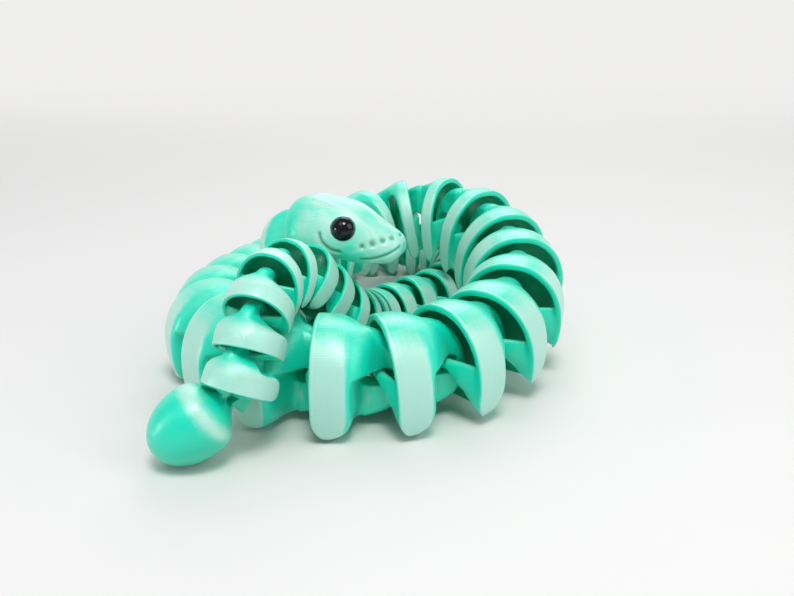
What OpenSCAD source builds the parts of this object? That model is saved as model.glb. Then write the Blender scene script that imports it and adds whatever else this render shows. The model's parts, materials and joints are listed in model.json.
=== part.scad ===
// Articulated snake toy: a print-in-place chain of cupped links with a tail tip, a head and two eyes.
// Millimetres, +Z up. The snake lies coiled on the floor as photographed.

/* [Body] */
// Height of a full-size body link
body_h = 26.5; // [24:0.5:28]
// Width of a full-size body link
body_w = 27; // [24:0.5:28]
// Distance between two cross bars along a full-size body
link_pitch = 15; // [14.5:0.25:17]
// Length of the full-width band of a full-size link
band_len = 6.6; // [6:0.2:7.2]
// Wall of the cup at its rim on a full-size link
cup_wall = 1.6; // [1.2:0.1:2.2]
// Distance from the cross bar's axis forward to the cup's rim
rim_ahead = 0.8; // [0.4:0.1:1]
// Radius of the rounded lower corner of the rim
rim_corner = 4.7; // [3.5:0.1:5.5]

// Half width of the shoulder just in front of the band, as a share of the width
shoulder = 0.33; // [0.3:0.01:0.42]
// Height of the shoulder above the middle, as a share of the height
shoulder_rise = 0.46; // [0.42:0.01:0.49]

/* [Link joint] */
// Radius of the cross bar of a full-size link
bar_r = 1.35; // [1.1:0.05:1.6]
// Thickness of the upright ring of a full-size link
ring_t = 5.4; // [4.6:0.2:6]
// How far the ring reaches past the cross bar that it hooks round
ring_reach = 6.5; // [5.8:0.1:6.8]
// Half the length of the ring's slot along the body
slot_half = 3.9; // [3.5:0.1:4.2]
// Gap between the cross bar and the roof of the slot
slot_gap = 0.55; // [0.4:0.05:0.8]
// Room below the cross bar in the slot
slot_drop = 1.3; // [0.8:0.1:2]
// Room between the ring's end and the back of the cup
cup_play = 1.4; // [1:0.1:1.8]

// Depth of the cross bar's legs where they meet the wall
leg_depth = 2.8; // [2:0.1:3.4]

/* [Tail tip] */
// Largest diameter of the egg-shaped tail tip
egg_d = 16.6; // [14:0.2:18]
// Length of the tail tip behind its widest place
egg_back = 11; // [8:0.5:14]

/* [Head] */
// Length of the head in front of the neck joint
head_len = 25.5; // [24:0.5:29]
// Width of the head across the jaws
head_w = 20; // [18:0.5:22]
// Height of the crown above the neck joint
head_top = 13.4; // [12.4:0.2:15]
// Depth of the chin below the neck joint
head_chin = 3.2; // [2:0.2:4]
// Diameter of an eye
eye_d = 5.8; // [4.6:0.1:6.4]
// How far an eye bulges out of the head
eye_bulge = 1.7; // [1:0.1:2.4]
// Depth of an eye socket
eye_deep = 1.6; // [1.2:0.1:2]
// Running gap round an eye in its socket
eye_gap = 0.12; // [0.08:0.02:0.2]
// Diameter of the pits along the upper lip
pit_d = 1.3; // [0.8:0.1:1.6]
// Width of the mouth line
mouth_w = 0.7; // [0.4:0.1:1]

/* [Hidden] */
// number of links with the tail tip, which is link 0
links = 48;
anchor = links - 15;
anchor_t = 29;
// size of each link against a full-size one, by link number
taper = [[0, 0.56], [7, 0.58], [10, 0.6], [17, 0.61], [20, 0.66], [28, 0.92], [31, 1], [39, 1],
         [41, 0.96], [43, 0.89], [46, 0.82], [49, 0.77]];
// how much narrower the shoulders are made where the body turns sharply, by link number
slim_neck = [[38, 0], [40, 1.2], [41, 2], [42, 2], [44, 1.6], [46, 2.2], [47, 1]];
// thinner ring at the neck, where the head turns most, by link number
thin_ring = [[40, 1], [41, 0.8], [43, 0.75], [45, 0.85], [46, 0.8], [47, 0.5]];
// lean of the links to their right, in degrees, by link number
lean = [[0, 22], [1, 5], [3, 10], [5, 10], [7, 5], [9, 0]];
// the line that the body lies along: x, y and the height of its underside, from the tail tip to the neck
path = [
  [-41.3, 163.2, 3.6], [-34.5, 165.4, 8.5], [-32.7, 168.4, 15.3], [-31, 173, 22.5], [-28.8, 180.6, 27.6],
  [-26.2, 189, 27.7], [-22.3, 196.3, 25], [-18, 202.5, 17], [-13.5, 209.5, 9.5], [-10.6, 218.5, 4.5],
  [-8, 227.5, 1.2], [-3, 235.5, 0], [4, 243.5, 0], [11.5, 251, 0], [17.5, 264, 0], [21, 277, 0], [18, 289.5, 0],
  [8.5, 299.5, 0], [-6, 302, 0], [-19.5, 296.5, 0], [-30, 286, 0], [-37, 273, 0], [-42, 259, 0], [-46, 245, 0],
  [-49, 231, 0], [-50, 217, 0], [-46, 204, 0], [-38, 192.5, 0], [-28, 185, 0], [-19.5, 182, 0], [-5, 181, 0],
  [9.8, 185.5, 1], [21, 195, 2], [29, 207, 5], [33, 221, 8], [31.5, 236, 11], [26, 250.5, 15], [16.5, 262.5, 16.8],
  [4.5, 269.3, 15.8], [-8.2, 268, 13.8], [-17, 259.5, 12.8], [-22.2, 248, 13.8], [-26.6, 237, 16.3],
  [-28, 226, 19], [-24.8, 217, 23.8], [-17, 212, 26]];
// heading of the head, in degrees from +X
head_turn = 343;
// middle of the coil, which becomes the origin
home = [-7.98, 232.72];
spread = link_pitch / 15;
rise = body_h / 26.5;
mint = [0.46, 0.87, 0.77];
pale = [0.62, 0.93, 0.85];

last = len(path) - 1;
function knot(k) = [path[k][0] * spread, path[k][1] * spread, path[k][2] * rise];
function near(k) = k < 0 ? 2 * knot(0) - knot(1) : k > last ? 2 * knot(last) - knot(last - 1) : knot(k);
function line(t) = t < 0 ? knot(0) + (knot(1) - knot(0)) * t
  : t >= last ? knot(last) + (knot(last) - knot(last - 1)) * (t - last)
  : let (k = floor(t), u = t - k, a = near(k - 1), b = near(k), c = near(k + 1), d = near(k + 2))
    0.5 * (2 * b + (c - a) * u + (2 * a - 5 * b + 4 * c - d) * u * u + (3 * b - a - 3 * c + d) * u * u * u);
function size(i) = lookup(i, taper);
function spot(t, i) = let (p = line(t)) [p[0], p[1], max(0, p[2]) + body_h * size(i) / 2];
// the stretch of the line from t, forwards or backwards, whose end lies one pitch from p
function seek(p, t, dir, i, want, lo, hi, n) = n == 0 ? lo
  : let (m = (lo + hi) / 2)
    norm(spot(t + dir * m, i) - p) < want ? seek(p, t, dir, i, want, m, hi, n - 1)
    : seek(p, t, dir, i, want, lo, m, n - 1);
function walk(i, t, dir, stop) = let (p = spot(t, i)) i == stop ? [p]
  : let (g = link_pitch * size(i + dir / 2), s = seek(p, t, dir, i + dir, g, 0, 2.5, 22))
    concat([p], walk(i + dir, t + dir * s, dir, stop));
ahead = walk(anchor, anchor_t, 1, links);
behind = walk(anchor, anchor_t, -1, 0);
// where each cross bar lies, from the tail tip to the head
pivots = concat([for (i = [anchor : -1 : 1]) behind[i]], ahead);

function unit(v) = v / norm(v);
function run(i) = i < links ? unit(pivots[i + 1] - pivots[i]) : [cos(head_turn), sin(head_turn), 0];
function side(i) = let (d = run(i), y = unit(cross([0, 0, 1], d)), r = lookup(i, lean))
  y * cos(r) + cross(d, y) * sin(r);
module place(i) {
  d = run(i);
  y = side(i);
  z = cross(d, y);
  p = pivots[i] - [home[0] * spread, home[1] * spread, 0];
  multmatrix([[d[0], y[0], z[0], p[0]], [d[1], y[1], z[1], p[1]], [d[2], y[2], z[2], p[2]]]) children();
}

// half outline of a link seen along the body, 1 wide and 1 high, from the crown down to the foot
dome = [[0, 0.5], [0.24, 0.44], [0.42, 0.25], [0.5, -0.06], [0.475, -0.36], [0.36, -0.5]];
function full(half) = concat(half, [for (k = [len(half) - 1 : -1 : 1]) [-half[k][0], half[k][1]]]);
// outline at x with half width w, crown at top and foot at bottom
function cut_at(x, w, top, bottom) =
  [for (p = full(dome)) [x, p[0] * 2 * w, p[1] > 0 ? p[1] * 2 * top : -p[1] * 2 * bottom]];
module skin(points) { hull() polyhedron(points, [[for (k = [0 : len(points) - 1]) k]]); }
module loft(cuts) { for (k = [0 : len(cuts) - 2]) skin(concat(cuts[k], cuts[k + 1])); }

// outline of the ring seen from the side, as shares of its reach and of half the body's height
ring_line = [[-0.5, 0.84], [0.16, 0.7], [0.74, 0.4], [1, -0.06], [0.84, -0.44], [0.36, -0.7], [-0.5, -0.86]];
module ring(s, next, thin) {
  x0 = link_pitch * s;
  function lay(y, f) = [for (p = ring_line) [x0 + ring_reach * s * (p[0] + 0.5) * f - ring_reach * s * 0.5, y,
                                             p[1] * body_h * s / 2 * f]];
  t = ring_t * thin * s / 2;
  skin(concat(lay(-t, 0.88), lay(-0.6 * t, 1), lay(0.6 * t, 1), lay(t, 0.88)));
}
module slot(x0, s, next) {
  up = bar_r * next + slot_gap * s;
  down = bar_r * next + slot_drop * s;
  a = slot_half * s;
  c = 0.35 * a;
  t = ring_t * s;
  line = [[-a, -down], [-a, up - c], [-a + c, up], [a - c, up], [a, up - c], [a, -down + c], [a - c, -down]];
  skin([for (y = [-t, t]) for (p = line) [x0 + p[0], y, p[1]]]);
}
module bar(s) {
  h = body_h * s;
  w = body_w * s;
  r = bar_r * s;
  x1 = (rim_ahead + 0.3) * s;
  x2 = x1 + leg_depth * s;
  in = 0.14 * w;
  tube = [for (k = [0 : 5]) [r * cos(60 * k), r * sin(60 * k)]];
  skin([for (y = [-in, in]) for (p = tube) [p[0], y, p[1]]]);
  for (m = [-1, 1])
    skin(concat([for (p = tube) [p[0], m * in, p[1]]],
                [for (x = [x1, x2]) for (q = [[0.465, 0.05], [0.455, -0.38]]) [x, m * q[0] * w, q[1] * h]]));
}
module cup(s) {
  h = body_h * s;
  w = body_w * s / 2 - cup_wall * s;
  top = h / 2 - cup_wall * s;
  deep = (ring_reach + cup_play) * s;
  loft([cut_at(-0.15 * deep, w, top, -0.6 * h), cut_at(0.6 * deep, w, top, -0.6 * h),
        cut_at(deep, 0.6 * w, 0.68 * top, -0.3 * h)]);
}
// the rounding of the two lower corners of the rim
module corner(s) {
  h = body_h * s;
  r = rim_corner * s;
  x0 = rim_ahead * s;
  line = [[x0 - 0.2 * h, -h / 2 - 1], [x0 - 0.2 * h, -h / 2 + 1.1 * r], [x0 - 0.07 * r, -h / 2 + 1.1 * r], [x0 + 0.1 * r, -h / 2 + 0.56 * r],
          [x0 + 0.44 * r, -h / 2 + 0.12 * r], [x0 + 1.5 * r, -h / 2 - 0.11 * r], [x0 + 1.5 * r, -h / 2 - 1]];
  rotate([90, 0, 0]) linear_extrude(height = body_w * s + 2, center = true) polygon(line);
}
// one printed link: band with its cup, cross bar with its legs, and ring
module link(i) {
  s = size(i);
  slim = lookup(i, slim_neck);
  thin = lookup(i, thin_ring);
  h = body_h * s;
  w = body_w * s;
  x1 = rim_ahead * s;
  x2 = x1 + band_len * s * (1 - 0.24 * slim);
  neck = link_pitch * s - x2;
  place(i) difference() {
    union() {
      difference() {
        loft([cut_at(x1, w / 2, h / 2, -h / 2), cut_at(x2, w / 2, h / 2, -h / 2),
              cut_at(x2 + 0.28 * neck, (1 - 0.24 * slim) * shoulder * w, (1 - 0.05 * slim) * shoulder_rise * h,
                     -(0.97 - 0.06 * slim) * shoulder_rise * h),
              cut_at(x2 + 0.6 * neck, (1 - 0.2 * slim) * 0.52 * shoulder * w, (0.94 - 0.03 * slim) * shoulder_rise * h,
                     -0.9 * shoulder_rise * h),
              cut_at(x2 + 0.85 * neck, 0.4 * ring_t * thin * s, 0.4 * h, -0.42 * h)]);
        cup(s);
      }
      ring(s, size(i + 1), thin);
      bar(s);
    }
    slot(link_pitch * s, s, size(i + 1));
    corner(s);
  }
}

// the egg-shaped tail tip, whose ring hooks round the second link's bar
function disc(x, q) = [for (k = [0 : 11]) [x, q * cos(30 * k + 15), q * sin(30 * k + 15)]];
module tail_tip() color(mint) place(0) {
  s = size(0);
  h = body_h * s;
  r = egg_d / 2;
  mid = -0.12 * h;
  front = (link_pitch - 0.4 * ring_reach) * s;
  difference() {
    union() {
      loft([for (a = [-90 : 18 : 0]) disc(mid + egg_back * sin(a), max(0.5, r * cos(a)))]);
      loft([for (q = [[0, 1], [0.34, 0.93], [0.6, 0.66], [0.84, 0.38], [1, 0.2]])
              disc(mid + q[0] * (front - mid), q[1] * r)]);
      ring(s, size(1), 0.7);
    }
    slot(link_pitch * s, s, size(1));
  }
}

// half outline of the head seen from the front: share of the half width, and height from chin to crown
brow = [[0, 1], [0.36, 0.95], [0.68, 0.8], [0.9, 0.58], [1, 0.36], [0.95, 0.14], [0.76, 0]];
// along the head: share of the length, share of the half width, crown and chin as shares of their heights
head_line = [[-0.2, 0.5, 0.62, -0.4], [-0.16, 0.72, 0.76, 0], [-0.08, 0.88, 0.87, 0.5], [0.05, 0.97, 0.94, 0.5],
             [0.2, 1, 0.93, 0.52], [0.35, 0.99, 0.89, 0.56], [0.48, 0.94, 0.84, 0.74], [0.58, 0.86, 0.78, 0.92],
             [0.68, 0.75, 0.65, 1], [0.78, 0.65, 0.5, 1], [0.88, 0.56, 0.39, 0.95], [0.955, 0.43, 0.3, 0.6],
             [1, 0.24, 0.16, -0.3]];
function head_cut(q, grow = 0) = let (w = head_w / 2 * q[1] + grow, top = head_top * q[2] + grow,
                                       low = -head_chin * q[3] - grow)
  [for (p = full(brow)) [head_len * q[0], p[0] * w, low + (top - low) * p[1]]];
// middle, outward direction and depth of an eye, for the side m
eye_x = 0.47;
eye_z = 0.58;
module at_eye(m) {
  w = head_w / 2;
  translate([head_len * eye_x, m * w * 0.84, -head_chin + (head_top + head_chin) * eye_z]) rotate([m * -66, 0, 0])
    rotate([0, 6, 0]) children();
}
module head() color(mint) place(links) {
  s = size(links);
  w = head_w / 2 * 0.84 - cup_wall * s;
  difference() {
    union() {
      difference() {
        loft([for (q = head_line) head_cut(q)]);
        // cup for the neck's ring, open below and behind, wider on the side that the neck comes from
        skin([for (z = [-head_chin - 9, 0]) for (p = [[ring_reach * s + 1.2, -w, 0.5], [ring_reach * s + 1.2, w, 0.5],
                                                      [-0.4 * head_len, 1.9 * w, 0.6], [-0.4 * head_len, -0.9 * w, 0.6]])
                [p[0], p[1], z < 0 ? z : p[2] * head_top]]);
      }
      bar_head(s, w);
    }
    for (m = [-1, 1]) {
      at_eye(m) translate([0, 0, -eye_deep]) cylinder(r = eye_d / 2 + eye_gap, h = 8, $fn = 24);
      // pits along the upper lip and a nostril
      for (k = [0 : 3]) let (x = head_len * (0.65 + 0.1 * k), y = head_w / 2 * (0.78 - 0.095 * k))
        translate([x, m * y, -head_chin + head_top * (0.35 + 0.03 * k)]) rotate([m * -80, 0, m * (8 + 4 * k)])
          cylinder(d = pit_d, h = 3, center = true, $fn = 8);
      mouth(m);
    }
  }
}
// cross bar of the head, wall to wall
module bar_head(s, w) {
  r = 0.85 * bar_r * s;
  tube = [for (k = [0 : 7]) [r * cos(45 * k + 22.5), r * sin(45 * k + 22.5)]];
  for (m = [-1, 1]) skin([for (y = [-0.2, w + cup_wall * s / 2]) for (p = tube) [p[0] + (y > 1 ? 1.6 : 0), m * y, p[1]]]);
}
// the smiling mouth line on one side, as a groove
mouth_line = [[0.24, 0.42], [0.27, 0.24], [0.34, 0.13], [0.45, 0.085], [0.6, 0.08], [0.78, 0.1], [0.9, 0.16],
              [0.97, 0.24]];
module mouth(m) {
  for (k = [0 : len(mouth_line) - 2]) hull() for (j = [k, k + 1]) {
    x = mouth_line[j][0];
    y = lookup(x, [for (q = head_line) [q[0], q[1]]]) * head_w / 2;
    translate([head_len * x, m * y, -head_chin + (head_top + head_chin) * mouth_line[j][1]])
      sphere(d = mouth_w, $fn = 6);
  }
}
module eye(m) color([0.02, 0.02, 0.03]) place(links) at_eye(m) {
  r = eye_d / 2;
  b = eye_bulge;
  big = (r * r + b * b) / (2 * b);
  rotate_extrude($fn = 48) union() {
    translate([0, -eye_deep]) square([r, eye_deep]);
    intersection() {
      translate([0, b - big]) circle(r = big, $fn = 96);
      square([r, b + 1]);
    }
  }
}
module eye_left() eye(1);
module eye_right() eye(-1);

link_names = [for (i = [1 : links - 1]) str("link_", i < 10 ? "0" : "", i)];

tail_tip();
for (i = [1 : links - 1])
  color(mint) link(i);
head();
eye_left();
eye_right();
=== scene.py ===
import bpy, bmesh, math, json
import numpy as np
from mathutils import Matrix, Vector
from mathutils.bvhtree import BVHTree


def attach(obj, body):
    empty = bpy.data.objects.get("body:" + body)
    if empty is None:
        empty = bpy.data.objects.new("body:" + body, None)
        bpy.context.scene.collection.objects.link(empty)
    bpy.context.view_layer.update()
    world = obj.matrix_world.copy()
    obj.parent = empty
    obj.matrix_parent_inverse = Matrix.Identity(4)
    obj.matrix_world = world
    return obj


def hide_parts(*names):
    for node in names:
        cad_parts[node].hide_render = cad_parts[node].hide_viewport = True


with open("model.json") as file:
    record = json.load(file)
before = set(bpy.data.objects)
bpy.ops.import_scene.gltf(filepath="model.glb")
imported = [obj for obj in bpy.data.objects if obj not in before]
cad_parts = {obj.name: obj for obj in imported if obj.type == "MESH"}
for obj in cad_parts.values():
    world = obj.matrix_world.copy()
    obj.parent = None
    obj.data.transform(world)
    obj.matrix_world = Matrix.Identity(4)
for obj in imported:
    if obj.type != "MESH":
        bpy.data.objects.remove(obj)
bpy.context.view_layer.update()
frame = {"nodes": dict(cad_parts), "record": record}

# The camera stands about a hand's length in front of the toy, a little above it, and looks down at the coil.
# Its place is that of the photograph, in the toy's own frame.
look_down = 19.4
lens_px = 850
photo_w, photo_h = 794, 596
sensor = 36
camera = bpy.data.objects.new("camera", bpy.data.cameras.new("camera"))
bpy.context.scene.collection.objects.link(camera)
camera.location = (0.00798, -0.23272, 0.095)
camera.rotation_euler = (math.radians(90 - look_down), 0, 0)
camera.data.sensor_width = sensor
camera.data.lens = lens_px / photo_w * sensor
camera.data.clip_start = 0.01
bpy.context.scene.camera = camera
bpy.context.scene.view_settings.view_transform = "Standard"


# The floor is a plain pale sheet that runs back and up into a pale wall, so that the toy's shadow shows.
# Rays that come straight or by a mirror from the camera see it near white.
class Socket:
    """A node's output that takes part in Python sums."""

    def __init__(self, tree, link):
        self.tree, self.link = tree, link

    def math(self, operation, *others, clamp=False):
        n = self.tree.nodes.new("ShaderNodeMath")
        n.operation, n.use_clamp = operation, clamp
        for i, v in enumerate((self,) + others):
            if isinstance(v, Socket):
                self.tree.links.new(v.link, n.inputs[i])
            else:
                n.inputs[i].default_value = v
        return Socket(self.tree, n.outputs[0])

    def node(self, kind, settings=None, out=0, **inputs):
        n = self.tree.nodes.new(kind)
        for key, value in (settings or {}).items():
            setattr(n, key, value)
        for key, value in inputs.items():
            socket = n.inputs[int(key[1:])] if key[0] == "_" else n.inputs[key.replace("_", " ")]
            if isinstance(value, Socket):
                self.tree.links.new(value.link, socket)
            else:
                socket.default_value = value
        return Socket(self.tree, n.outputs[out])

    def __add__(self, o): return self.math("ADD", o)
    def __radd__(self, o): return self.math("ADD", o)
    def __sub__(self, o): return self.math("SUBTRACT", o)
    def __rsub__(self, o): return (self * -1) + o
    def __mul__(self, o): return self.math("MULTIPLY", o)

    def to(self, node, name):
        self.tree.links.new(self.link, node.inputs[name])


def new_material(name):
    m = bpy.data.materials.new(name)
    m.use_nodes = True
    bsdf = m.node_tree.nodes["Principled BSDF"]
    return m, bsdf, Socket(m.node_tree, None)


def mix_colour(start, factor, a, b):
    """From colour a to colour b as the factor goes from 0 to 1."""
    n = start.tree.nodes.new("ShaderNodeMix")
    n.data_type = "RGBA"
    for socket, value in ((n.inputs["Factor"], factor), (n.inputs[6], a), (n.inputs[7], b)):
        if isinstance(value, Socket):
            start.tree.links.new(value.link, socket)
        else:
            socket.default_value = value if isinstance(value, float) else tuple(value) + (1,)
    return Socket(start.tree, n.outputs[2])


sweep = [(-1.6, 0), (0.55, 0), (0.8, 0.03), (0.95, 0.13), (1.0, 0.3), (1.0, 1.5)]
floor_mesh = bpy.data.meshes.new("floor")
rows = [(y, z - 0.0001) for y, z in sweep]
floor_mesh.from_pydata([(x, y, z) for y, z in rows for x in (-2.5, 2.5)], [],
                       [(2 * k, 2 * k + 1, 2 * k + 3, 2 * k + 2) for k in range(len(rows) - 1)])
floor = bpy.data.objects.new("floor", floor_mesh)
bpy.context.scene.collection.objects.link(floor)
for p in floor_mesh.polygons:
    p.use_smooth = True
floor_finish, bsdf, s = new_material("pale_floor")
bsdf.inputs["Base Color"].default_value = (0.79, 0.785, 0.775, 1)
bsdf.inputs["Roughness"].default_value = 0.75
bsdf.inputs["Specular IOR Level"].default_value = 0.2
glow = floor_finish.node_tree.nodes.new("ShaderNodeEmission")
glow.inputs["Color"].default_value = (0.87, 0.865, 0.855, 1)
blend = floor_finish.node_tree.nodes.new("ShaderNodeMixShader")
floor_finish.node_tree.links.new(bsdf.outputs[0], blend.inputs[1])
floor_finish.node_tree.links.new(glow.outputs[0], blend.inputs[2])
surface = floor_finish.node_tree.nodes["Material Output"].inputs["Surface"]
floor_finish.node_tree.links.new(blend.outputs[0], surface)
seen = s.node("ShaderNodeLightPath", out=0).math("MAXIMUM", s.node("ShaderNodeLightPath", out=3))
where = s.node("ShaderNodeTexCoord", out=3)
depth = Socket(s.tree, where.node("ShaderNodeSeparateXYZ", _0=where).link.node.outputs[1])
fade = depth.node("ShaderNodeMapRange", {"interpolation_type": "SMOOTHSTEP"}, Value=depth, From_Min=0.1,
                  From_Max=0.7)
(seen * fade).to(blend, "Fac")
floor_mesh.materials.append(floor_finish)

# Soft studio light: a panel above and to the left, one on the right and one behind, and an even pale room.
# The photograph's light comes from the upper left and makes broad soft highlights on the silk plastic.
for name, place, size, power, aim in (("high", (-0.3, -0.35, 0.8), 0.5, 1.0, (0, 0, 0.02)),
                                      ("fill", (0.6, -0.3, 0.45), 0.5, 1.5, (0, 0, 0.02)),
                                      ("back", (0.1, 0.65, 0.7), 0.6, 2.4, (0, 0, 0.02))):
    lamp = bpy.data.lights.new(name, "AREA")
    lamp.energy, lamp.size = power, size
    o = bpy.data.objects.new(name, lamp)
    bpy.context.scene.collection.objects.link(o)
    o.location = place
    o.rotation_euler = (Vector(aim) - Vector(place)).to_track_quat("-Z", "Y").to_euler()
world = bpy.data.worlds.new("room")
bpy.context.scene.world = world
world.use_nodes = True
world.node_tree.nodes["Background"].inputs[0].default_value = (0.95, 0.97, 1.0, 1)
world.node_tree.nodes["Background"].inputs[1].default_value = 0.35

# Silk mint plastic, laid down in fine level layers: deeper green on the shoulders and rings, with a painted
# sheen that makes the outward walls of each link pale and pearly, and painted shade that makes the insides
# of the cups darkest. The point values that it reads are pale (the painted sheen), deep (the painted shade)
# and rim, from 0 to 1, and spot, the place on the piece in millimetres. Egg and head have no rim.
# How high a layer is could not be read from the photograph, so that is a guess.
layer_high = 0.3


def silk(name, grain=(1.5, 0.12, 0.07), lines=(0.08, 0.08, 3.4), swirl=0.0):
    m, bsdf, s = new_material(name)
    spot = s.node("ShaderNodeAttribute", {"attribute_name": "spot"}, out=1)
    split = spot.node("ShaderNodeSeparateXYZ", _0=spot).link.node.outputs
    ahead, rise = Socket(s.tree, split[0]), Socket(s.tree, split[2])
    pale = s.node("ShaderNodeAttribute", {"attribute_name": "pale"}, out=2)
    deep = s.node("ShaderNodeAttribute", {"attribute_name": "deep"}, out=2)
    rim_mask = s.node("ShaderNodeAttribute", {"attribute_name": "rim"}, out=2)

    def ramp(value, low, high):
        return value.node("ShaderNodeMapRange", {"interpolation_type": "SMOOTHSTEP"}, Value=value,
                          From_Min=low, From_Max=high)

    def noise(scale, detail=2.0):
        stretched = spot.node("ShaderNodeMapping", _0=spot, _3=scale)
        return s.node("ShaderNodeTexNoise", Vector=stretched, Scale=1.0, Detail=detail, Distortion=swirl)

    cloud, brushed, strand = noise((0.16, 0.16, 0.16)), noise(grain, 3.0), noise(lines)
    # the rim is a thin green edge where the painted sheen is held back, a bright line of painted highlight,
    # and a fine seam a millimetre in, a groove in the bump with painted shade in it
    edge = ramp(ahead, 0.95, 1.35)
    bright = ramp(ahead, 1.25, 1.5) * (1 - ramp(ahead, 1.55, 1.85))
    seam = ramp(ahead, 2.0, 2.12) * (1 - ramp(ahead, 2.16, 2.3))
    shade = (pale * 0.94 + (cloud - 0.5) * 0.75 * pale * (1 - pale) * 4 + (brushed - 0.5) * 0.6 * pale
             + (strand - 0.5) * 0.2 + (cloud - 0.5) * 0.16)
    shade = shade * (1 - rim_mask * (1 - edge) * 0.7) + bright * rim_mask * 0.45
    shade = (shade - seam * rim_mask * brushed * 0.35).math("ADD", 0.0, clamp=True)
    # teal is the plastic's own colour; the pale mint is the painted sheen and the dark green the painted
    # shade
    colour = mix_colour(s, ramp(shade, 0.0, 1.0), (0.0, 0.78, 0.54), (0.44, 0.82, 0.69))
    colour = mix_colour(s, (deep * 0.9).math("ADD", 0.0, clamp=True), colour, (0.0, 0.34, 0.17))
    colour.to(bsdf, "Base Color")
    layers = (rise * (2 * math.pi / layer_high) + (cloud - 0.5) * 1.5).math("SINE")
    rough = 0.34 + (brushed - 0.5) * 0.16 + (strand - 0.5) * 0.12
    rough.to(bsdf, "Roughness")
    bump = s.node("ShaderNodeBump", Strength=0.4, Distance=0.00005,
                  Height=layers * 0.6 + strand * 1.2 + brushed * 0.5 - seam * rim_mask * brushed * 1.4)
    bump.to(bsdf, "Normal")
    bsdf.inputs["Metallic"].default_value = 0.05
    bsdf.inputs["Specular IOR Level"].default_value = 0.6
    bsdf.inputs["Sheen Weight"].default_value = 0.1
    bsdf.inputs["Sheen Roughness"].default_value = 0.35
    bsdf.inputs["Sheen Tint"].default_value = (0.8, 1.0, 0.95, 1)
    bsdf.inputs["Coat Weight"].default_value = 0.3
    bsdf.inputs["Coat Roughness"].default_value = 0.2
    return m


body_finish = silk("silk_mint")

# One body link: a cupped band with a thin lip, a cross bar on two splayed legs inside the cup,
# and a flat upright ring on a tapering neck that hooks round the bar of the link in front.
# Each kind is drawn once at full size in millimetres, as stacked outlines that are joined, cut and softened.
body_h, body_w, pitch = 26.5, 27.0, 15.0
band, wall, rim = 6.6, 1.6, 0.8
bar_r, reach, slot_half, slot_up, slot_down = 1.35, 6.5, 3.9, 1.95, 2.65
ring_t, cup_play, leg_half = 5.4, 1.4, 1.4


def curve(points, n, closed=False):
    """A smooth line through the points, n steps between two of them."""
    p = np.array(points, float)
    k = len(p)
    if closed:
        get = lambda i: p[i % k]
        spans = k
    else:
        get = lambda i: p[min(max(i, 0), k - 1)]
        spans = k - 1
    out = []
    for i in range(spans):
        a, b, c, d = get(i - 1), get(i), get(i + 1), get(i + 2)
        for u in np.arange(n) / n:
            out.append(0.5 * (2 * b + (c - a) * u + (2 * a - 5 * b + 4 * c - d) * u ** 2
                              + (3 * b - a - 3 * c + d) * u ** 3))
    if not closed:
        out.append(p[-1])
    return np.array(out)


half = [(0, 0.5), (0.13, 0.485), (0.25, 0.432), (0.36, 0.335), (0.435, 0.215), (0.485, 0.06), (0.497, -0.1),
        (0.485, -0.26), (0.455, -0.4), (0.41, -0.47), (0.33, -0.5)]
section = curve(half + [(0, -0.505)] + [(-y, z) for y, z in half[:0:-1]], 6, closed=True)
section[:, 1] = np.maximum(section[:, 1], -0.5)


def solid(name, sheets):
    """A closed mesh through rows of points, all rows of one length."""
    rows = np.array(sheets)
    n, m = rows.shape[:2]
    verts = rows.reshape(-1, 3).tolist() + [rows[0].mean(0).tolist(), rows[-1].mean(0).tolist()]
    faces = [(i * m + j, i * m + (j + 1) % m, (i + 1) * m + (j + 1) % m, (i + 1) * m + j)
             for i in range(n - 1) for j in range(m)]
    faces += [(n * m, (j + 1) % m, j) for j in range(m)]
    faces += [(n * m + 1, (n - 1) * m + j, (n - 1) * m + (j + 1) % m) for j in range(m)]
    mesh = bpy.data.meshes.new(name)
    mesh.from_pydata(verts, [], faces)
    bm = bmesh.new()
    bm.from_mesh(mesh)
    bmesh.ops.recalc_face_normals(bm, faces=bm.faces)
    bm.to_mesh(mesh)
    bm.free()
    o = bpy.data.objects.new(name, mesh)
    bpy.context.scene.collection.objects.link(o)
    return o


def wrap(name, points):
    """The tightest skin round some points."""
    bm = bmesh.new()
    for p in points:
        bm.verts.new(p)
    bmesh.ops.convex_hull(bm, input=bm.verts)
    bmesh.ops.recalc_face_normals(bm, faces=bm.faces)
    mesh = bpy.data.meshes.new(name)
    bm.to_mesh(mesh)
    bm.free()
    o = bpy.data.objects.new(name, mesh)
    bpy.context.scene.collection.objects.link(o)
    return o


def work(o, kind, **settings):
    """Runs one modifier on an object and keeps its result."""
    mod = o.modifiers.new(kind, kind)
    for key, value in settings.items():
        setattr(mod, key, value)
    bpy.context.view_layer.objects.active = o
    with bpy.context.temp_override(object=o, active_object=o, selected_objects=[o]):
        bpy.ops.object.modifier_apply(modifier=mod.name)
    return o


def combine(o, others, operation):
    for other in others:
        work(o, "BOOLEAN", operation=operation, object=other, solver="MANIFOLD")
        bpy.data.objects.remove(other)
    return o


def outline(x, w, top, bottom):
    """The body's outline at x with half width w, crown at top and foot at bottom. The width may be a list of
    four: above and below the bar on the left, then the same on the right."""
    z = np.where(section[:, 1] > 0, section[:, 1] * 2 * top, -section[:, 1] * 2 * bottom)
    if np.ndim(w):
        upper = np.clip((z + 0.2) / 3.2, 0, 1)
        upper = upper * upper * (3 - 2 * upper)
        left, right = [w[k + 1] + (w[k] - w[k + 1]) * upper for k in (0, 2)]
        w = np.where(section[:, 0] > 0, left, right)
    return np.stack([np.full(len(section), x), section[:, 0] * 2 * w, z], 1)


def slide(stations, x):
    """The values of the stations' columns at x."""
    a = np.array(stations)
    return [np.interp(x, a[:, 0], a[:, c]) for c in range(1, a.shape[1])]


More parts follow.
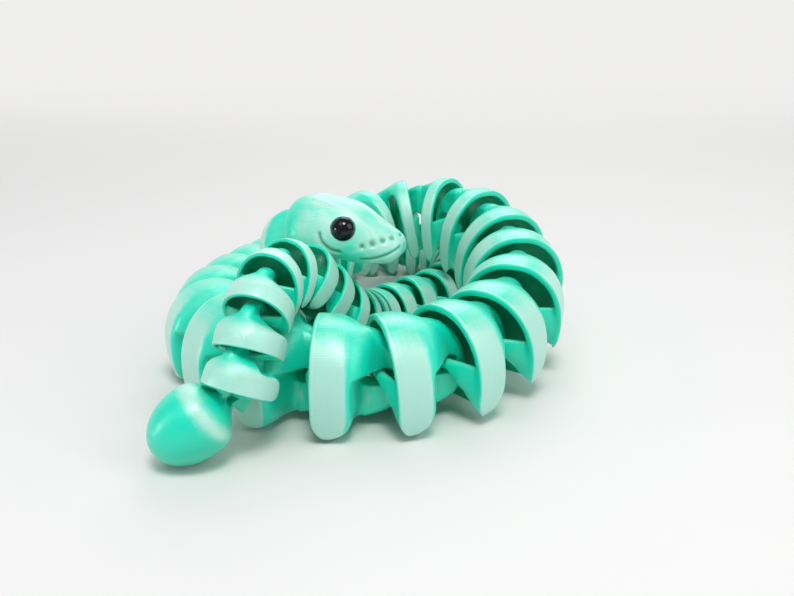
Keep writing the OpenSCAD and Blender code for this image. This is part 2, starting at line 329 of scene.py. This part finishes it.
def fill_corners(o, rounds):
    """Rounds the inner corners where two forms meet, and moves the rest only a little."""
    mesh = o.data
    n, e = len(mesh.vertices), len(mesh.edges)
    co, pairs = np.empty(3 * n), np.empty(2 * e, int)
    mesh.vertices.foreach_get("co", co)
    mesh.edges.foreach_get("vertices", pairs)
    co, pairs = co.reshape(-1, 3), pairs.reshape(-1, 2)
    a, b = np.concatenate([pairs[:, 0], pairs[:, 1]]), np.concatenate([pairs[:, 1], pairs[:, 0]])
    count = np.bincount(a, minlength=n)[:, None]
    for _ in range(rounds):
        mean = np.stack([np.bincount(a, co[b, k], n) for k in range(3)], 1) / count
        mesh.vertices.foreach_set("co", co.ravel())
        mesh.update()
        no = np.empty(3 * n)
        mesh.vertex_normals.foreach_get("vector", no)
        lift = ((mean - co) * no.reshape(-1, 3)).sum(1)
        co = co + (mean - co) * np.clip(lift * 60, 0.04, 0.8)[:, None]
    mesh.vertices.foreach_set("co", co.ravel())
    mesh.update()


# How a link's half width falls from its band to its ring, above and below the bar: the roof over the ring
# sweeps in gently, and under it the wall ends in a rounded edge. A wall is full or long where its neighbour
# turns little towards it, and short elsewhere.
under = [(0.8, 13.35), (1.2, 13.5), (8.4, 13.5), (9.2, 13.25), (9.8, 12.7), (10.2, 11.7), (10.45, 9.5),
         (10.6, 6), (10.9, 4.2), (11.5, 3.1), (12.6, 2.5), (18.4, 2.2)]
walls = {"full": ([(0.8, 13.35), (1.2, 13.5), (8.6, 13.45), (9.8, 13.1), (11, 12.3), (12.1, 11), (13.1, 9.3),
                   (14.1, 7.4), (15.1, 5.7), (16.2, 4.2), (17.2, 3.2), (18.4, 2.5)], under),
         "long": ([(0.8, 13.35), (1.2, 13.5), (7.6, 13.5), (8.8, 13.2), (9.9, 12.3), (10.9, 10.8),
                   (11.9, 8.8), (12.9, 6.9), (14, 5.2), (15.2, 3.9), (16.6, 3.0), (18.4, 2.4)], under),
         "short": ([(0.8, 13.35), (1.2, 13.5), (5.8, 13.5), (6.8, 13.2), (7.8, 12.4), (8.8, 10.9), (9.8, 9.0),
                    (10.8, 7.0), (12, 5.2), (13.4, 3.9), (15, 3.0), (18.4, 2.4)],
                   [(0.8, 13.35), (1.2, 13.5), (5.6, 13.5), (6.6, 13.2), (7.3, 12.5), (7.8, 11.2), (8.3, 8.8),
                    (8.9, 6.4), (9.8, 4.4), (11, 3.2), (12.6, 2.5), (18.4, 2.2)])}
ridge = [(0.8, 13.1), (1.2, 13.25), (4.4, 13.25), (6.4, 13.05), (8.2, 12.55), (10, 11.9), (12, 11.05),
         (14, 10.1), (16, 8.8), (18.4, 6)]
keel = [(0.8, 13.1), (1.2, 13.25), (7, 13.25), (8.4, 12.9), (9.6, 12.2), (11, 11.3), (12.6, 10.6), (15, 9.7),
        (18.4, 7.5)]


def link_solid(slim, thin, left, right):
    h, w = body_h, body_w
    tables = [np.array(t, float) for t in walls[left] + walls[right]]
    crown, foot = np.array(ridge, float), np.array(keel, float)
    # a slim neck leaves its neighbour room: the band and the roof end sooner, and the roof is narrower
    slims = [slim if left == "short" else 0.0] * 2 + [slim if right == "short" else 0.0] * 2
    for t, q in zip(tables + [crown, foot], slims + [slim, slim]):
        t[:, 0] -= 0.24 * q * np.maximum(t[:, 0] - 3, 0) * np.clip((16 - t[:, 0]) / 8, 0, 1)
    for t, q in zip(tables, slims):
        t[:, 1] = np.maximum(13.5 * (t[:, 1] / 13.5) ** (1 + 0.83 * q), 2.4 * thin)
    shell = []
    stations = [[0.8, 0.95, 1.2], np.arange(1.8, 7, 0.4), np.arange(7, 12.6, 0.15),
                np.arange(12.6, 18.4, 0.3)]
    for x in np.concatenate(stations):
        widths = [np.interp(x, t[:, 0], t[:, 1]) for t in tables]
        shell.append(outline(x, widths, np.interp(x, crown[:, 0], crown[:, 1]),
                             -np.interp(x, foot[:, 0], foot[:, 1])))
    shell = np.array(shell)
    # the front lower corner is turned as well
    turn, tall = 5.0, 8.0
    low = np.clip((-h / 2 + tall - shell[..., 2]) / tall, 0, 1)
    back = turn * (1 - np.sqrt(1 - low ** 2))
    shell[..., 0] -= back * np.clip((shell[..., 0] - rim) / band, 0, 1)
    body = solid("body", shell)
    deep = reach + cup_play
    cw, ct = w / 2 - wall, h / 2 - wall
    hollow = [(-0.15 * deep, cw, ct, -0.6 * h), (0.55 * deep, cw, ct, -0.6 * h),
              (0.68 * deep, 0.97 * cw, 0.975 * ct, -0.54 * h),
              (0.8 * deep, 0.89 * cw, 0.91 * ct, -0.46 * h), (0.9 * deep, 0.78 * cw, 0.82 * ct, -0.38 * h),
              (deep, 0.6 * cw, 0.68 * ct, -0.3 * h)]
    sheets = [outline(x, *slide(hollow, x)) for x in np.linspace(-0.15 * deep, deep, 30)]
    combine(body, [solid("hollow", sheets)], "DIFFERENCE")
    a = np.radians(np.arange(0, 360, 15))
    bar = [(bar_r * math.cos(v), bar_r * math.sin(v)) for v in a]
    parts = [ring_solid(pitch, reach, h, ring_t * thin),
             solid("bar", [[(x, y, z) for x, z in bar] for y in (-0.15 * w, 0.15 * w)])]
    for m in (-1, 1):
        foot = [(rim + 0.3 + leg_half + leg_half * math.cos(v), -0.2 * h + 0.24 * h * math.sin(v)) for v in a]
        parts.append(wrap("leg", [(x, m * 0.14 * w, z) for x, z in bar]
                          + [(x, m * (0.462 - 0.03 * (z < -0.3 * h)) * w, z) for x, z in foot]))
    combine(body, parts, "UNION")
    cut = [(rim - 5, -h / 2 - 1), (rim - 5, -h / 2 + tall), (rim - 0.2, -h / 2 + tall)]
    cut += [(rim - 0.2 + turn * (1 - math.cos(v)), -h / 2 + tall * (1 - math.sin(v)))
            for v in np.radians(np.arange(8, 89, 8))]
    cut += [(rim + 1.4 * turn, -h / 2 - 0.1), (rim + 1.4 * turn, -h / 2 - 1)]
    combine(body, [slot_solid(pitch, slot_half, slot_up, slot_down),
                   solid("corner", [[(x, y, z) for x, z in cut] for y in (-16, 16)])], "DIFFERENCE")
    work(body, "REMESH", mode="VOXEL", voxel_size=0.3)
    fill_corners(body, 40)
    return body


def ring_solid(at, reach, h, thick):
    """A link's flat ring, seen from the side a blunt nose, with its two edges rounded."""
    side = curve([(-0.5, 0.84), (0.16, 0.72), (0.7, 0.44), (0.98, 0.06), (0.96, -0.26), (0.72, -0.54),
                  (0.3, -0.72), (-0.5, -0.86)], 8)
    return solid("ring", [[(at + reach * ((p[0] + 0.5) * f - 0.5), y * thick / 2, p[1] * h / 2 * f)
                           for p in side]
                          for y, f in [(v, 1 - 0.12 * abs(v) ** 3) for v in np.linspace(-1, 1, 9)]])


def slot_solid(at, along, above, below):
    """The long hole in a ring, with round corners."""
    hole = [(at + along * math.copysign(abs(math.cos(v)) ** 0.6, math.cos(v)),
             (above if math.sin(v) > 0 else below) * math.copysign(abs(math.sin(v)) ** 0.6, math.sin(v)))
            for v in np.radians(np.arange(0, 360, 10))]
    return solid("slot", [[(x, y, z) for x, z in hole] for y in (-6, 6)])


def near(table, i):
    """The table's value at link i."""
    return float(np.interp(i, [a for a, b in table], [b for a, b in table]))


def mark(mesh, spot, **marks):
    """Writes the point values that the silk reads."""
    for name, values in marks.items():
        mesh.attributes.new(name, "FLOAT", "POINT").data.foreach_set("value", values.astype(np.float32))
    spots = mesh.attributes.new("spot", "FLOAT_VECTOR", "POINT")
    spots.data.foreach_set("vector", spot.ravel().astype(np.float32))


def paint(mesh, slim, left, right, crown_pale):
    """Marks each point with painted sheen, pale on the band's outer wall, and painted shade, deep inside the
    cup, and gives its place.
    """
    h, w = body_h, body_w
    n = len(mesh.vertices)
    co, no = np.empty(3 * n), np.empty(3 * n)
    mesh.vertices.foreach_get("co", co)
    mesh.vertices.foreach_get("normal", no)
    co, no = co.reshape(-1, 3), no.reshape(-1, 3)
    x, y, z = co.T
    # how far out the point lies against the body's outline at its height
    edge = np.interp(z / h, [-0.5, -0.4, -0.1, 0.2, 0.34, 0.43, 0.5],
                     [0.33, 0.455, 0.497, 0.44, 0.36, 0.25, 0.02])
    share = np.hypot(y / w, z / h) / np.maximum(np.hypot(np.maximum(edge, 0.05), z / h), 0.2)
    outward = (y * no[:, 1] + z * no[:, 2]) / np.maximum(np.hypot(y, z), 0.1)
    # the painted sheen on the band's wall ends sharply low down and fades slowly over the roof; its crown is
    # mottled
    end = np.where(np.where(y > 0, left != "short", right != "short"), 9.0, 3 + 3.4 * (1 - 0.24 * slim))
    soft = 0.45 + 2.2 * np.clip(z / h / 0.34, 0, 1) ** 1.5 + 3 * (crown_pale > 0.7)
    low_turn = np.clip((-h / 2 + 8 - z) / 8, 0, 1)
    end = end - 5 * (1 - np.sqrt(1 - low_turn ** 2)) * 0.8 + 2 * (crown_pale > 0.7)
    wall_mask = np.clip(outward * 2 - 0.6, 0, 1) * (share > 0.8) * (x > 0.4)
    top_fade = 1 - (1 - crown_pale) * np.clip((z / h - 0.3) / 0.16, 0, 1)
    on_band = np.clip((end - x) / soft + 0.5, 0, 1)
    pale = wall_mask * on_band * top_fade
    # light collects on the blades of the legs and low on the ring
    leg_spot = np.exp(-((x - 1.6) / 2) ** 2 - ((np.abs(y) - 7.6) / 2.2) ** 2 - ((z + 2.6) / 2.6) ** 2)
    leg_spot = leg_spot * (share < 0.85)
    ring_spot = np.exp(-((x - 13.5) / 1.6) ** 2 - ((z + 6.2) / 2.2) ** 2)
    pale = np.maximum(pale, 0.75 * leg_spot)
    pale = np.maximum(pale, 0.6 * ring_spot)
    # painted light: faces that look up are a little paler
    pale = np.maximum(pale, 0.22 * np.clip(no[:, 2], 0, 1))
    # painted shade: the cup grows darker inside the deeper it lies
    inside = (outward < 0.2) & (x < reach + 2) & (x > -1)
    deep = inside * np.clip((x - 0.9) / 6, 0, 1) * (1 - leg_spot)
    mark(mesh, co, pale=pale, deep=deep, rim=wall_mask * (x < 4))


taper = [(0, 0.56), (7, 0.58), (10, 0.6), (17, 0.61), (20, 0.66), (28, 0.92), (31, 1), (39, 1), (41, 0.96),
         (43, 0.89), (46, 0.82), (49, 0.77)]
slim_neck = [(38, 0), (40, 1.2), (41, 2), (42, 2), (44, 1.6), (46, 2.2), (47, 1)]
thin_ring = [(40, 1), (41, 0.8), (43, 0.75), (45, 0.85), (46, 0.8), (47, 0.5)]
pivot, up = {}, {}
for k, j in enumerate(frame["record"]["behaviour"]["joints"]):
    pivot[k + 1], up[k + 1] = Vector(j["pos_m"]), Vector(j["axis"]).normalized()


def seat(ahead, z, origin):
    """The place of a link from its heading and its own up."""
    x = ahead.normalized()
    y = z.cross(x).normalized()
    z = x.cross(y)
    return Matrix.Translation(origin) @ Matrix((x, y, z)).transposed().to_4x4()


shapes = {}


def dress(mesh, name, body, place):
    """Puts a finished mesh in its place, on its body and over the CAD node of that name."""
    mesh.transform(place)
    mesh.shade_smooth()
    o = bpy.data.objects.new(name, mesh)
    bpy.context.scene.collection.objects.link(o)
    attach(o, body)
    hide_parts(body)
    return o


for i in range(1, 48):
    size, slim, thin = near(taper, i), round(near(slim_neck, i), 2), round(near(thin_ring, i), 2)
    # the front row's links are kept finer, and the tail's small links get painted sheen on their crowns too
    share = 0.3 if 28 <= i <= 40 else 0.2
    crown_pale = 0.9 if i <= 9 else 0.4
    # a side's wall is full if the next link turns towards it by 9 degrees at most, and long up to 17 degrees
    sides = ["short", "short"]
    if i < 47:
        one, two = pivot[i + 1] - pivot[i], pivot[i + 2] - pivot[i + 1]
        turned = math.degrees(math.atan2(one.cross(two).dot(up[i + 1]), one.dot(two)))
        least, most = frame["record"]["behaviour"]["joints"][i]["range_deg"]
        sides = ["full" if v <= 9 else "long" if v <= 17 else "short"
                 for v in (turned + most, -turned - least)]
    key = (slim, thin, *sides)
    if (key, share, crown_pale) not in shapes:
        if key not in shapes:
            shapes[key] = link_solid(*key)
        lighter = shapes[key].copy()
        lighter.data = lighter.data.copy()
        bpy.context.scene.collection.objects.link(lighter)
        work(lighter, "DECIMATE", ratio=share)
        paint(lighter.data, slim, *sides, crown_pale)
        lighter.data.materials.clear()
        lighter.data.materials.append(body_finish)
        shapes[(key, share, crown_pale)] = lighter
    mesh = shapes[(key, share, crown_pale)].data.copy()
    mesh.transform(Matrix.Scale(size / 1000, 4))
    dress(mesh, "band_%02d" % i, "link_%02d" % i, seat(pivot[i + 1] - pivot[i], up[i], pivot[i]))
for o in shapes.values():
    bpy.data.objects.remove(o)

# The tail ends in a smooth egg that lies on the table. A thinner ring grows out of its front
# and hooks round the bar of the first link; it is printed standing up, so its layers run across it.
egg_size, egg_r, egg_back = near(taper, 0), 8.3, 11.0
egg_up = Vector((0, 0, 1))
egg_ahead = Vector((0.7986, 0.2451, 0.5497))
egg_side = egg_up.cross(egg_ahead).normalized()
egg_side.rotate(Matrix.Rotation(math.radians(22), 3, egg_ahead))
egg_seat = seat(egg_ahead, egg_ahead.cross(egg_side),
                pivot[1] - egg_ahead.normalized() * pitch * egg_size / 1000)
h = body_h * egg_size
middle, front = -0.12 * h, (pitch - 0.4 * reach) * egg_size
profile = [(middle + egg_back * math.sin(v), max(0.15, egg_r * math.cos(v)))
           for v in np.radians(np.arange(-90, 1, 5))]
nose = curve([(0, 1), (0.2, 0.99), (0.37, 0.945), (0.5, 0.86), (0.62, 0.71), (0.74, 0.53),
              (0.86, 0.36), (1, 0.2)], 4)
profile += [(middle + q * (front - middle), r * egg_r) for q, r in nose[1:]]
around = np.radians(np.arange(0, 360, 6))
egg = solid("egg", [[(x, r * math.cos(v), r * math.sin(v)) for v in around] for x, r in profile])
bar_next = bar_r * near(taper, 1)
combine(egg, [ring_solid(pitch * egg_size, reach * egg_size, h, ring_t * 0.7 * egg_size)], "UNION")
combine(egg, [slot_solid(pitch * egg_size, slot_half * egg_size, bar_next + 0.55 * egg_size,
                         bar_next + 1.3 * egg_size)], "DIFFERENCE")
work(egg, "REMESH", mode="VOXEL", voxel_size=0.25)
fill_corners(egg, 40)
work(egg, "DECIMATE", ratio=0.45)
egg_co = np.empty(3 * len(egg.data.vertices))
egg.data.vertices.foreach_get("co", egg_co)
ex, ey, ez = egg_co.reshape(-1, 3).T
# a painted highlight, a pale sweep, crosses the egg's upper front, where the silk turns to the light,
# and painted shade darkens the egg towards its underside
streak = np.exp(-((ex - 2.2 + 0.1 * ez) / 1.7) ** 2) * np.clip(1.1 + ez / 9, 0, 1)
mark(egg.data, np.stack([ey, ez, ex], 1), pale=0.95 * streak,
     deep=0.45 * np.clip(0.75 - ez / 9, 0, 1) * (1 - streak))
egg.data.transform(Matrix.Scale(0.001, 4))
egg.data.materials.clear()
egg.data.materials.append(body_finish)
dress(egg.data.copy(), "egg_tip", "tail_tip", egg_seat)
bpy.data.objects.remove(egg)

# The head is one smooth shell with a hood over the neck's ring, a blunt snout and a carved smile.
# Its rows give the distance from the neck joint, half width, crown and chin, in millimetres.
head_rows = [(-5.1, 4.4, 8.0, 1.9), (-4.8, 5.8, 9.2, 0.9), (-4.1, 7.2, 10.25, 0), (-2.0, 8.8, 11.75, -1.3),
             (1.3, 9.7, 12.6, -1.6),
             (5.1, 10.0, 12.45, -1.7), (8.9, 9.9, 11.95, -1.8), (12.2, 9.4, 11.3, -2.4),
             (14.8, 8.6, 10.3, -2.95),
             (17.3, 7.5, 8.7, -3.2), (19.9, 6.5, 6.8, -3.2), (22.4, 5.6, 5.2, -3.05), (24.0, 4.6, 4.2, -2.3),
             (25.0, 3.4, 3.1, -1.2), (25.5, 2.0, 1.9, 0.1)]
brow = curve([(0, 1), (0.18, 0.99), (0.36, 0.95), (0.54, 0.885), (0.7, 0.785), (0.84, 0.655), (0.93, 0.53),
              (0.985, 0.42), (1, 0.33), (0.98, 0.2), (0.92, 0.1), (0.82, 0.03),
              (0.66, 0), (0.4, -0.005), (0, -0.008)], 3)
front_view = np.concatenate([brow, brow[-2:0:-1] * (-1, 1)])
skull = solid("skull", [[(x, y * w, low + (top - low) * z) for y, z in front_view]
                        for x, w, top, low in curve(head_rows, 5)])
head_len, head_half, head_high, chin = 25.5, 10, 16.6, 3.2
neck_size = near(taper, 48)
inner = head_half * 0.84 - wall * neck_size
cup_front, cup_back = reach * neck_size + 1.2, -0.4 * head_len
combine(skull, [wrap("cup", [(x, y, z) for x, y, top in
                             ((cup_front, -inner, 6.7), (cup_front, inner, 6.7), (cup_back, 1.9 * inner, 7.8),
                              (cup_back, -0.35 * inner, 7.8)) for z in (-12, top)])], "DIFFERENCE")
tube = [(0.85 * bar_r * neck_size * math.cos(v), 0.85 * bar_r * neck_size * math.sin(v)) for v in around]
combine(skull, [wrap("rod", [(x + far * 1.6, m * (-0.2 + far * (inner + 0.7 + 0.2)), z)
                             for far in (0, 1) for x, z in tube]) for m in (-1, 1)], "UNION")
eye_r, eye_gap, eye_side = 2.9, 0.12, 8.4
hole_r = eye_r + eye_gap
for m in (-1, 1):
    place = (Matrix.Translation((head_len * 0.47, m * eye_side, -chin + head_high * 0.58))
             @ Matrix.Rotation(math.radians(m * -66), 4, "X") @ Matrix.Rotation(math.radians(6), 4, "Y"))
    socket = wrap("socket", [place @ Vector((hole_r * math.cos(v), hole_r * math.sin(v), z))
                             for v in around for z in (-1.6, 6)])
    combine(skull, [socket], "DIFFERENCE")
work(skull, "REMESH", mode="VOXEL", voxel_size=0.2)
fill_corners(skull, 25)

# The pits along the lip, the nostrils and the brow lines are drawn where the photograph shows them, and the
# smile a little forward, higher and shorter, where the raised tail doesn't hide it. Each is a soft groove,
# or a soft ridge, on the near side, and is mirrored to the far side.
head_turn = math.radians(343)
head_seat = seat(Vector((math.cos(head_turn), math.sin(head_turn), 0)), Vector((0, 0, 1)), pivot[48])
bm = bmesh.new()
bm.from_mesh(skull.data)
skin = BVHTree.FromBMesh(bm)
bm.free()
bpy.context.view_layer.update()
back = head_seat.inverted()
eye_point = back @ camera.matrix_world.translation * 1000


def sight(px, py):
    """The direction in which the camera sees this pixel of the photograph."""
    across, over = (px - photo_w / 2) / lens_px, (photo_h / 2 - py) / lens_px
    return camera.matrix_world.to_3x3() @ Vector((across, over, -1))


def seen_at(px, py):
    """The spot on the head that lies behind this pixel."""
    hit = skin.ray_cast(eye_point, (back.to_3x3() @ sight(px, py)).normalized())[0]
    return None if hit is None else list(hit)


n = len(skull.data.vertices)
co, no = np.empty(3 * n), np.empty(3 * n)
skull.data.vertices.foreach_get("co", co)
skull.data.vertex_normals.foreach_get("vector", no)
co, no = co.reshape(-1, 3), no.reshape(-1, 3)
groove, shift = np.zeros(n), np.zeros(n)
carving = [([(319.5, 234), (320.5, 239), (323, 243.5), (327, 247.5), (332, 250.5), (339, 252.5)], 0.5, 0.5),
           ([(361, 259.5), (368, 259.5), (376, 258.5), (386, 255.5), (394, 251.5), (400, 247)], 0.42, 0.4),
           ([(362, 247.3)], 0.75, 0.75), ([(372, 244.4)], 0.75, 0.75), ([(382.4, 240.6)], 0.7, 0.7),
           ([(392, 237.6)], 0.7, 0.68), ([(401.5, 234.5)], 0.5, 0.5),
           ([(315, 199), (325, 202), (335, 206), (350, 213), (361, 221), (370, 230), (374, 238)], -0.2, 0.55),
           ([(318, 195), (330, 197), (342, 199), (359, 205), (373, 214), (384, 221)], -0.16, 0.5)]
# painted sheen and painted shade over the head: pale lines where light catches the silk and green ones where
# shade falls, as (pixels, more or less pale, width)
sheen_and_shade_lines = [([(316, 202), (330, 206), (345, 212), (358, 221), (368, 230), (372, 238)], 0.5, 0.9),
         ([(310, 195), (330, 194), (350, 198), (368, 209), (384, 220)], 0.45, 0.9),
         ([(322, 212), (327, 225), (324, 236)], 0.35, 1.3), ([(378, 250), (392, 245), (402, 240)], 0.3, 1.2),
         ([(316.5, 235), (317.5, 241), (320.5, 246.5), (326, 251), (334, 254)], 0.6, 0.8),
         ([(371, 262), (380, 261.5), (390, 259), (397, 255)], 0.6, 1.0),
         ([(292, 206), (288, 220), (291, 238)], -0.45, 2.4), ([(302, 199), (297, 214)], -0.25, 1.6),
         ([(298, 250), (318, 262), (340, 265), (360, 265)], -0.55, 1.5),
         ([(352, 246), (346, 258), (360, 254)], -0.3, 1.6),
         ([(362, 247.3)], 0.4, 1.3), ([(372, 244.4)], 0.4, 1.3), ([(382.4, 240.6)], 0.4, 1.2),
         ([(392, 237.6)], 0.4, 1.2)]


def trace(pixels):
    """Each point's squared distance from the line through these pixels, and from its mirror line."""
    spots = [q for q in (seen_at(*v) for v in pixels) if q]
    spots = curve(spots, 14) if len(spots) > 1 else np.array(spots).reshape(-1, 3)
    for mirrored in (1, -1):
        near_by = np.full(n, 99.0)
        for q in spots * (1, mirrored, 1):
            near_by = np.minimum(near_by, ((co - q) ** 2).sum(1))
        yield near_by


# the carving moves the points, and its deeper grooves are also marked for painted shade
for pixels, depth, width in carving:
    for near_by in trace(pixels):
        fade = np.exp(-near_by / width ** 2)
        shift -= depth * fade
        groove = np.maximum(groove, fade * (0.9 if depth > 0.3 else 0))
sheen_and_shade = np.zeros(n)
for pixels, amount, width in sheen_and_shade_lines:
    for near_by in trace(pixels):
        sheen_and_shade += amount * np.exp(-near_by / width ** 2)
co += no * shift[:, None]
skull.data.vertices.foreach_set("co", co.ravel())
skull.data.update()
hx, hy, hz = co.T
# painted sheen where the head faces up and along its lines; painted shade in the grooves and inside the hood
pale = 0.5 + 0.2 * no[:, 2] + sheen_and_shade
inwards = ((co - (-1, 0, 3)) * no).sum(1) < 0
inside = (hx < cup_front + 0.4) & (hx > -4.9) & (np.abs(hy) < inner + 0.3) & (hz < 8.2) & inwards
mark(skull.data, co, pale=np.clip(pale, 0, 1) * ~inside, deep=np.maximum(groove, 0.7 * inside))
work(skull, "DECIMATE", ratio=0.6)
skull.data.transform(Matrix.Scale(0.001, 4))
skull.data.materials.clear()
skull.data.materials.append(silk("silk_head", grain=(0.1, 0.35, 0.5), lines=(0.12, 0.12, 2.6), swirl=0.6))
dress(skull.data.copy(), "smooth_head", "head", head_seat)
bpy.data.objects.remove(skull)

# Two polished black domes, pressed into their sockets; the paint is so smooth that it mirrors the lamps.
# Two small lamps stand where the near eye mirrors them at the two bright spots of the photograph.
eye_finish, bsdf, s = new_material("eye_black")
at = s.node("ShaderNodeTexCoord", out=3)
speck = s.node("ShaderNodeTexNoise", Vector=at, Scale=600.0, Detail=2.0)
mix_colour(s, speck, (0.001, 0.001, 0.0015), (0.004, 0.004, 0.005)).to(bsdf, "Base Color")
(speck * 0.05 + 0.06).to(bsdf, "Roughness")
bsdf.inputs["Specular IOR Level"].default_value = 0.4
for node in ("eye_left", "eye_right"):
    for slot_ in frame["nodes"][node].material_slots:
        slot_.material = eye_finish
bm = bmesh.new()
bm.from_mesh(frame["nodes"]["eye_right"].data)
dome = BVHTree.FromBMesh(bm)
bm.free()
lamp_far = 0.85
for name, (px, py), power, wide in (("key", (343.6, 223.8), 3.7, 0.3), ("window", (335.4, 229.2), 1.0, 0.18)):
    ray = sight(px, py).normalized()
    hit, normal = dome.ray_cast(camera.matrix_world.translation, ray)[:2]
    lamp = bpy.data.lights.new(name, "AREA")
    lamp.shape, lamp.energy, lamp.size = "DISK", power, wide
    o = bpy.data.objects.new(name, lamp)
    bpy.context.scene.collection.objects.link(o)
    o.location = hit + ray.reflect(normal) * lamp_far
    o.rotation_euler = (hit - o.location).to_track_quat("-Z", "Y").to_euler()
